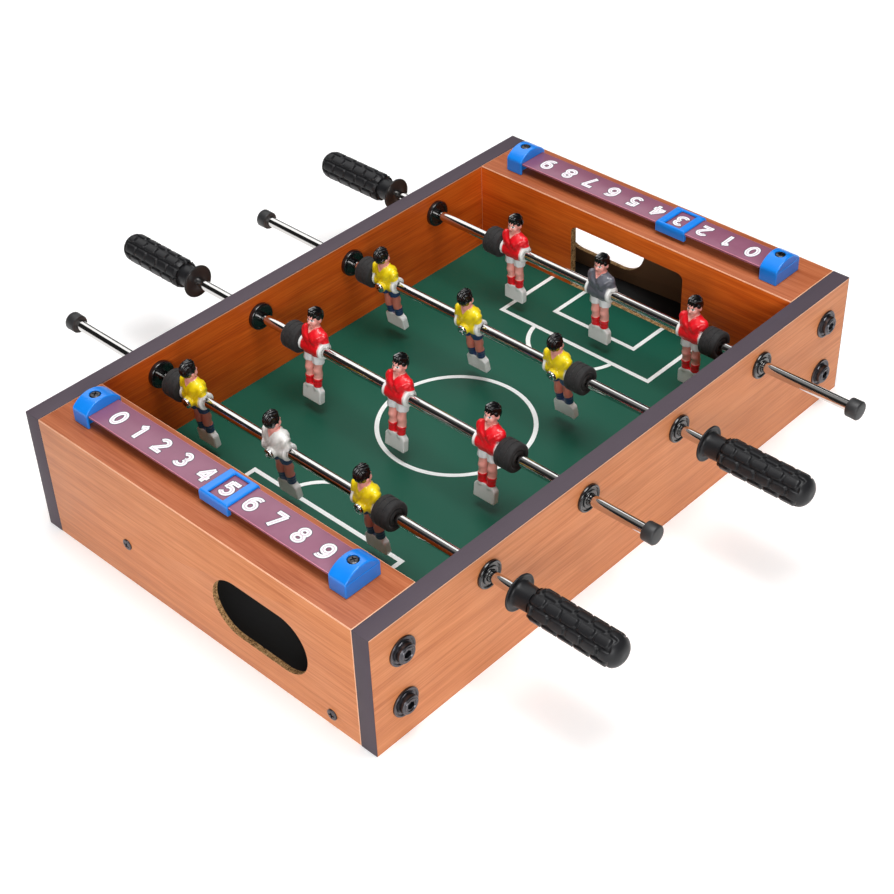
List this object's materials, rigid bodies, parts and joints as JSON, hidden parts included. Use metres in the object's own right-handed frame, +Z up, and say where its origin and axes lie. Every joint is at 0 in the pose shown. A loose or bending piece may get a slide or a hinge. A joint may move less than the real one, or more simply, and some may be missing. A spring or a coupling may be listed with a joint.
{
  "type": "tabletop foosball table",
  "caption": "Tabletop foosball table: wooden cabinet with a green field, sliding and spinning rods carrying players, and a bead-style sliding scorer at each goal.",
  "frame": {"origin": "on the floor, under the middle of the whole footprint with rods and grips at rest", "axes": "+X from the left goal to the right goal, +Y along the rods towards the far side, +Z up"},
  "size_m": [0.508, 0.586, 0.1205],
  "materials": {
    "laminated_wood": "printed wood-grain laminate, satin",
    "edge_band": "dark slate edge band, satin",
    "raw_wood": "raw",
    "green_field": "painted hardboard with white lines, satin",
    "black_board": "black sheet, matt",
    "black_steel": "blackened, semi-gloss",
    "zinc_steel": "zinc plated",
    "black_plastic": "gloss",
    "mauve_plastic": "satin, printed white digits",
    "blue_plastic": "gloss",
    "chromed_steel": "mirror",
    "grip_plastic": "satin moulded",
    "cap_plastic": "satin",
    "bumper_rubber": "matt",
    "yellow_team": "white moulding, painted shirt, shorts, socks, skin and hair",
    "red_team": "white moulding, painted shirt, shorts, socks, skin and hair",
    "yellow_team_keeper": "white moulding, painted shorts, socks, skin and hair",
    "red_team_keeper": "white moulding, painted shirt, shorts, socks, skin and hair"
  },
  "bodies": {
    "cabinet": {"side_board_near": "laminated_wood", "side_board_far": "laminated_wood", "edge_bands_near": "edge_band", "edge_bands_far": "edge_band", "end_panel_left": "laminated_wood", "end_panel_right": "laminated_wood", "end_top_left": "laminated_wood", "end_top_right": "laminated_wood", "goal_wall_left": "laminated_wood", "goal_wall_right": "laminated_wood", "end_cheeks": "raw_wood", "playing_field": "green_field", "field_battens": "raw_wood", "ball_ramp_left": "black_board", "ball_ramp_right": "black_board", "ramp_blocks": "raw_wood", "panel_screws": "black_steel", "corner_bolts": "black_steel", "corner_washers": "black_steel", "insert_nuts": "zinc_steel", "rod_bushings": "black_plastic", "bushing_nuts": "black_plastic", "scorer_bar_left": "mauve_plastic", "scorer_bar_right": "mauve_plastic", "scorer_blocks": "blue_plastic", "scorer_screws": "black_steel"},
    "scorer_slider_left": {"scorer_slider_left": "blue_plastic"},
    "scorer_slider_right": {"scorer_slider_right": "blue_plastic"},
    "rod_1_carriage": {"rod_1_bumpers": "bumper_rubber"},
    "rod_1": {"rod_1_tube": "chromed_steel", "rod_1_man_near": "yellow_team", "rod_1_man_middle": "yellow_team_keeper", "rod_1_man_far": "yellow_team", "rod_1_man_screws": "chromed_steel", "rod_1_grip": "grip_plastic", "rod_1_end_cap": "cap_plastic"},
    "rod_2_carriage": {"rod_2_bumpers": "bumper_rubber"},
    "rod_2": {"rod_2_tube": "chromed_steel", "rod_2_man_near": "red_team", "rod_2_man_middle": "red_team", "rod_2_man_far": "red_team", "rod_2_man_screws": "chromed_steel", "rod_2_grip": "grip_plastic", "rod_2_end_cap": "cap_plastic"},
    "rod_3_carriage": {"rod_3_bumpers": "bumper_rubber"},
    "rod_3": {"rod_3_tube": "chromed_steel", "rod_3_man_near": "yellow_team", "rod_3_man_middle": "yellow_team", "rod_3_man_far": "yellow_team", "rod_3_man_screws": "chromed_steel", "rod_3_grip": "grip_plastic", "rod_3_end_cap": "cap_plastic"},
    "rod_4_carriage": {"rod_4_bumpers": "bumper_rubber"},
    "rod_4": {"rod_4_tube": "chromed_steel", "rod_4_man_near": "red_team", "rod_4_man_middle": "red_team_keeper", "rod_4_man_far": "red_team", "rod_4_man_screws": "chromed_steel", "rod_4_grip": "grip_plastic", "rod_4_end_cap": "cap_plastic"}
  },
  "joints": [
    {"name": "scorer_slide_left", "type": "slide", "parent": "cabinet", "child": "scorer_slider_left", "axis": [0, 1, 0], "range_m": [-0.09, 0.1125]},
    {"name": "scorer_slide_right", "type": "slide", "parent": "cabinet", "child": "scorer_slider_right", "axis": [0, 1, 0], "range_m": [-0.0675, 0.135]},
    {"name": "rod_1_slide", "type": "slide", "parent": "cabinet", "child": "rod_1_carriage", "axis": [0, 1, 0], "range_m": [-0.0622, 0.0102]},
    {"name": "rod_1_spin", "type": "hinge", "parent": "rod_1_carriage", "child": "rod_1", "pos_m": [-0.1487, 0.01, 0.0825], "axis": [0, 1, 0], "continuous": true},
    {"name": "rod_2_slide", "type": "slide", "parent": "cabinet", "child": "rod_2_carriage", "axis": [0, 1, 0], "range_m": [-0.0422, 0.0302]},
    {"name": "rod_2_spin", "type": "hinge", "parent": "rod_2_carriage", "child": "rod_2", "pos_m": [-0.0514, -0.01, 0.0825], "axis": [0, 1, 0], "continuous": true},
    {"name": "rod_3_slide", "type": "slide", "parent": "cabinet", "child": "rod_3_carriage", "axis": [0, 1, 0], "range_m": [-0.0622, 0.0102]},
    {"name": "rod_3_spin", "type": "hinge", "parent": "rod_3_carriage", "child": "rod_3", "pos_m": [0.0459, 0.01, 0.0825], "axis": [0, 1, 0], "continuous": true},
    {"name": "rod_4_slide", "type": "slide", "parent": "cabinet", "child": "rod_4_carriage", "axis": [0, 1, 0], "range_m": [-0.0162, 0.0562]},
    {"name": "rod_4_spin", "type": "hinge", "parent": "rod_4_carriage", "child": "rod_4", "pos_m": [0.1432, -0.036, 0.0825], "axis": [0, 1, 0], "continuous": true}
  ]
}
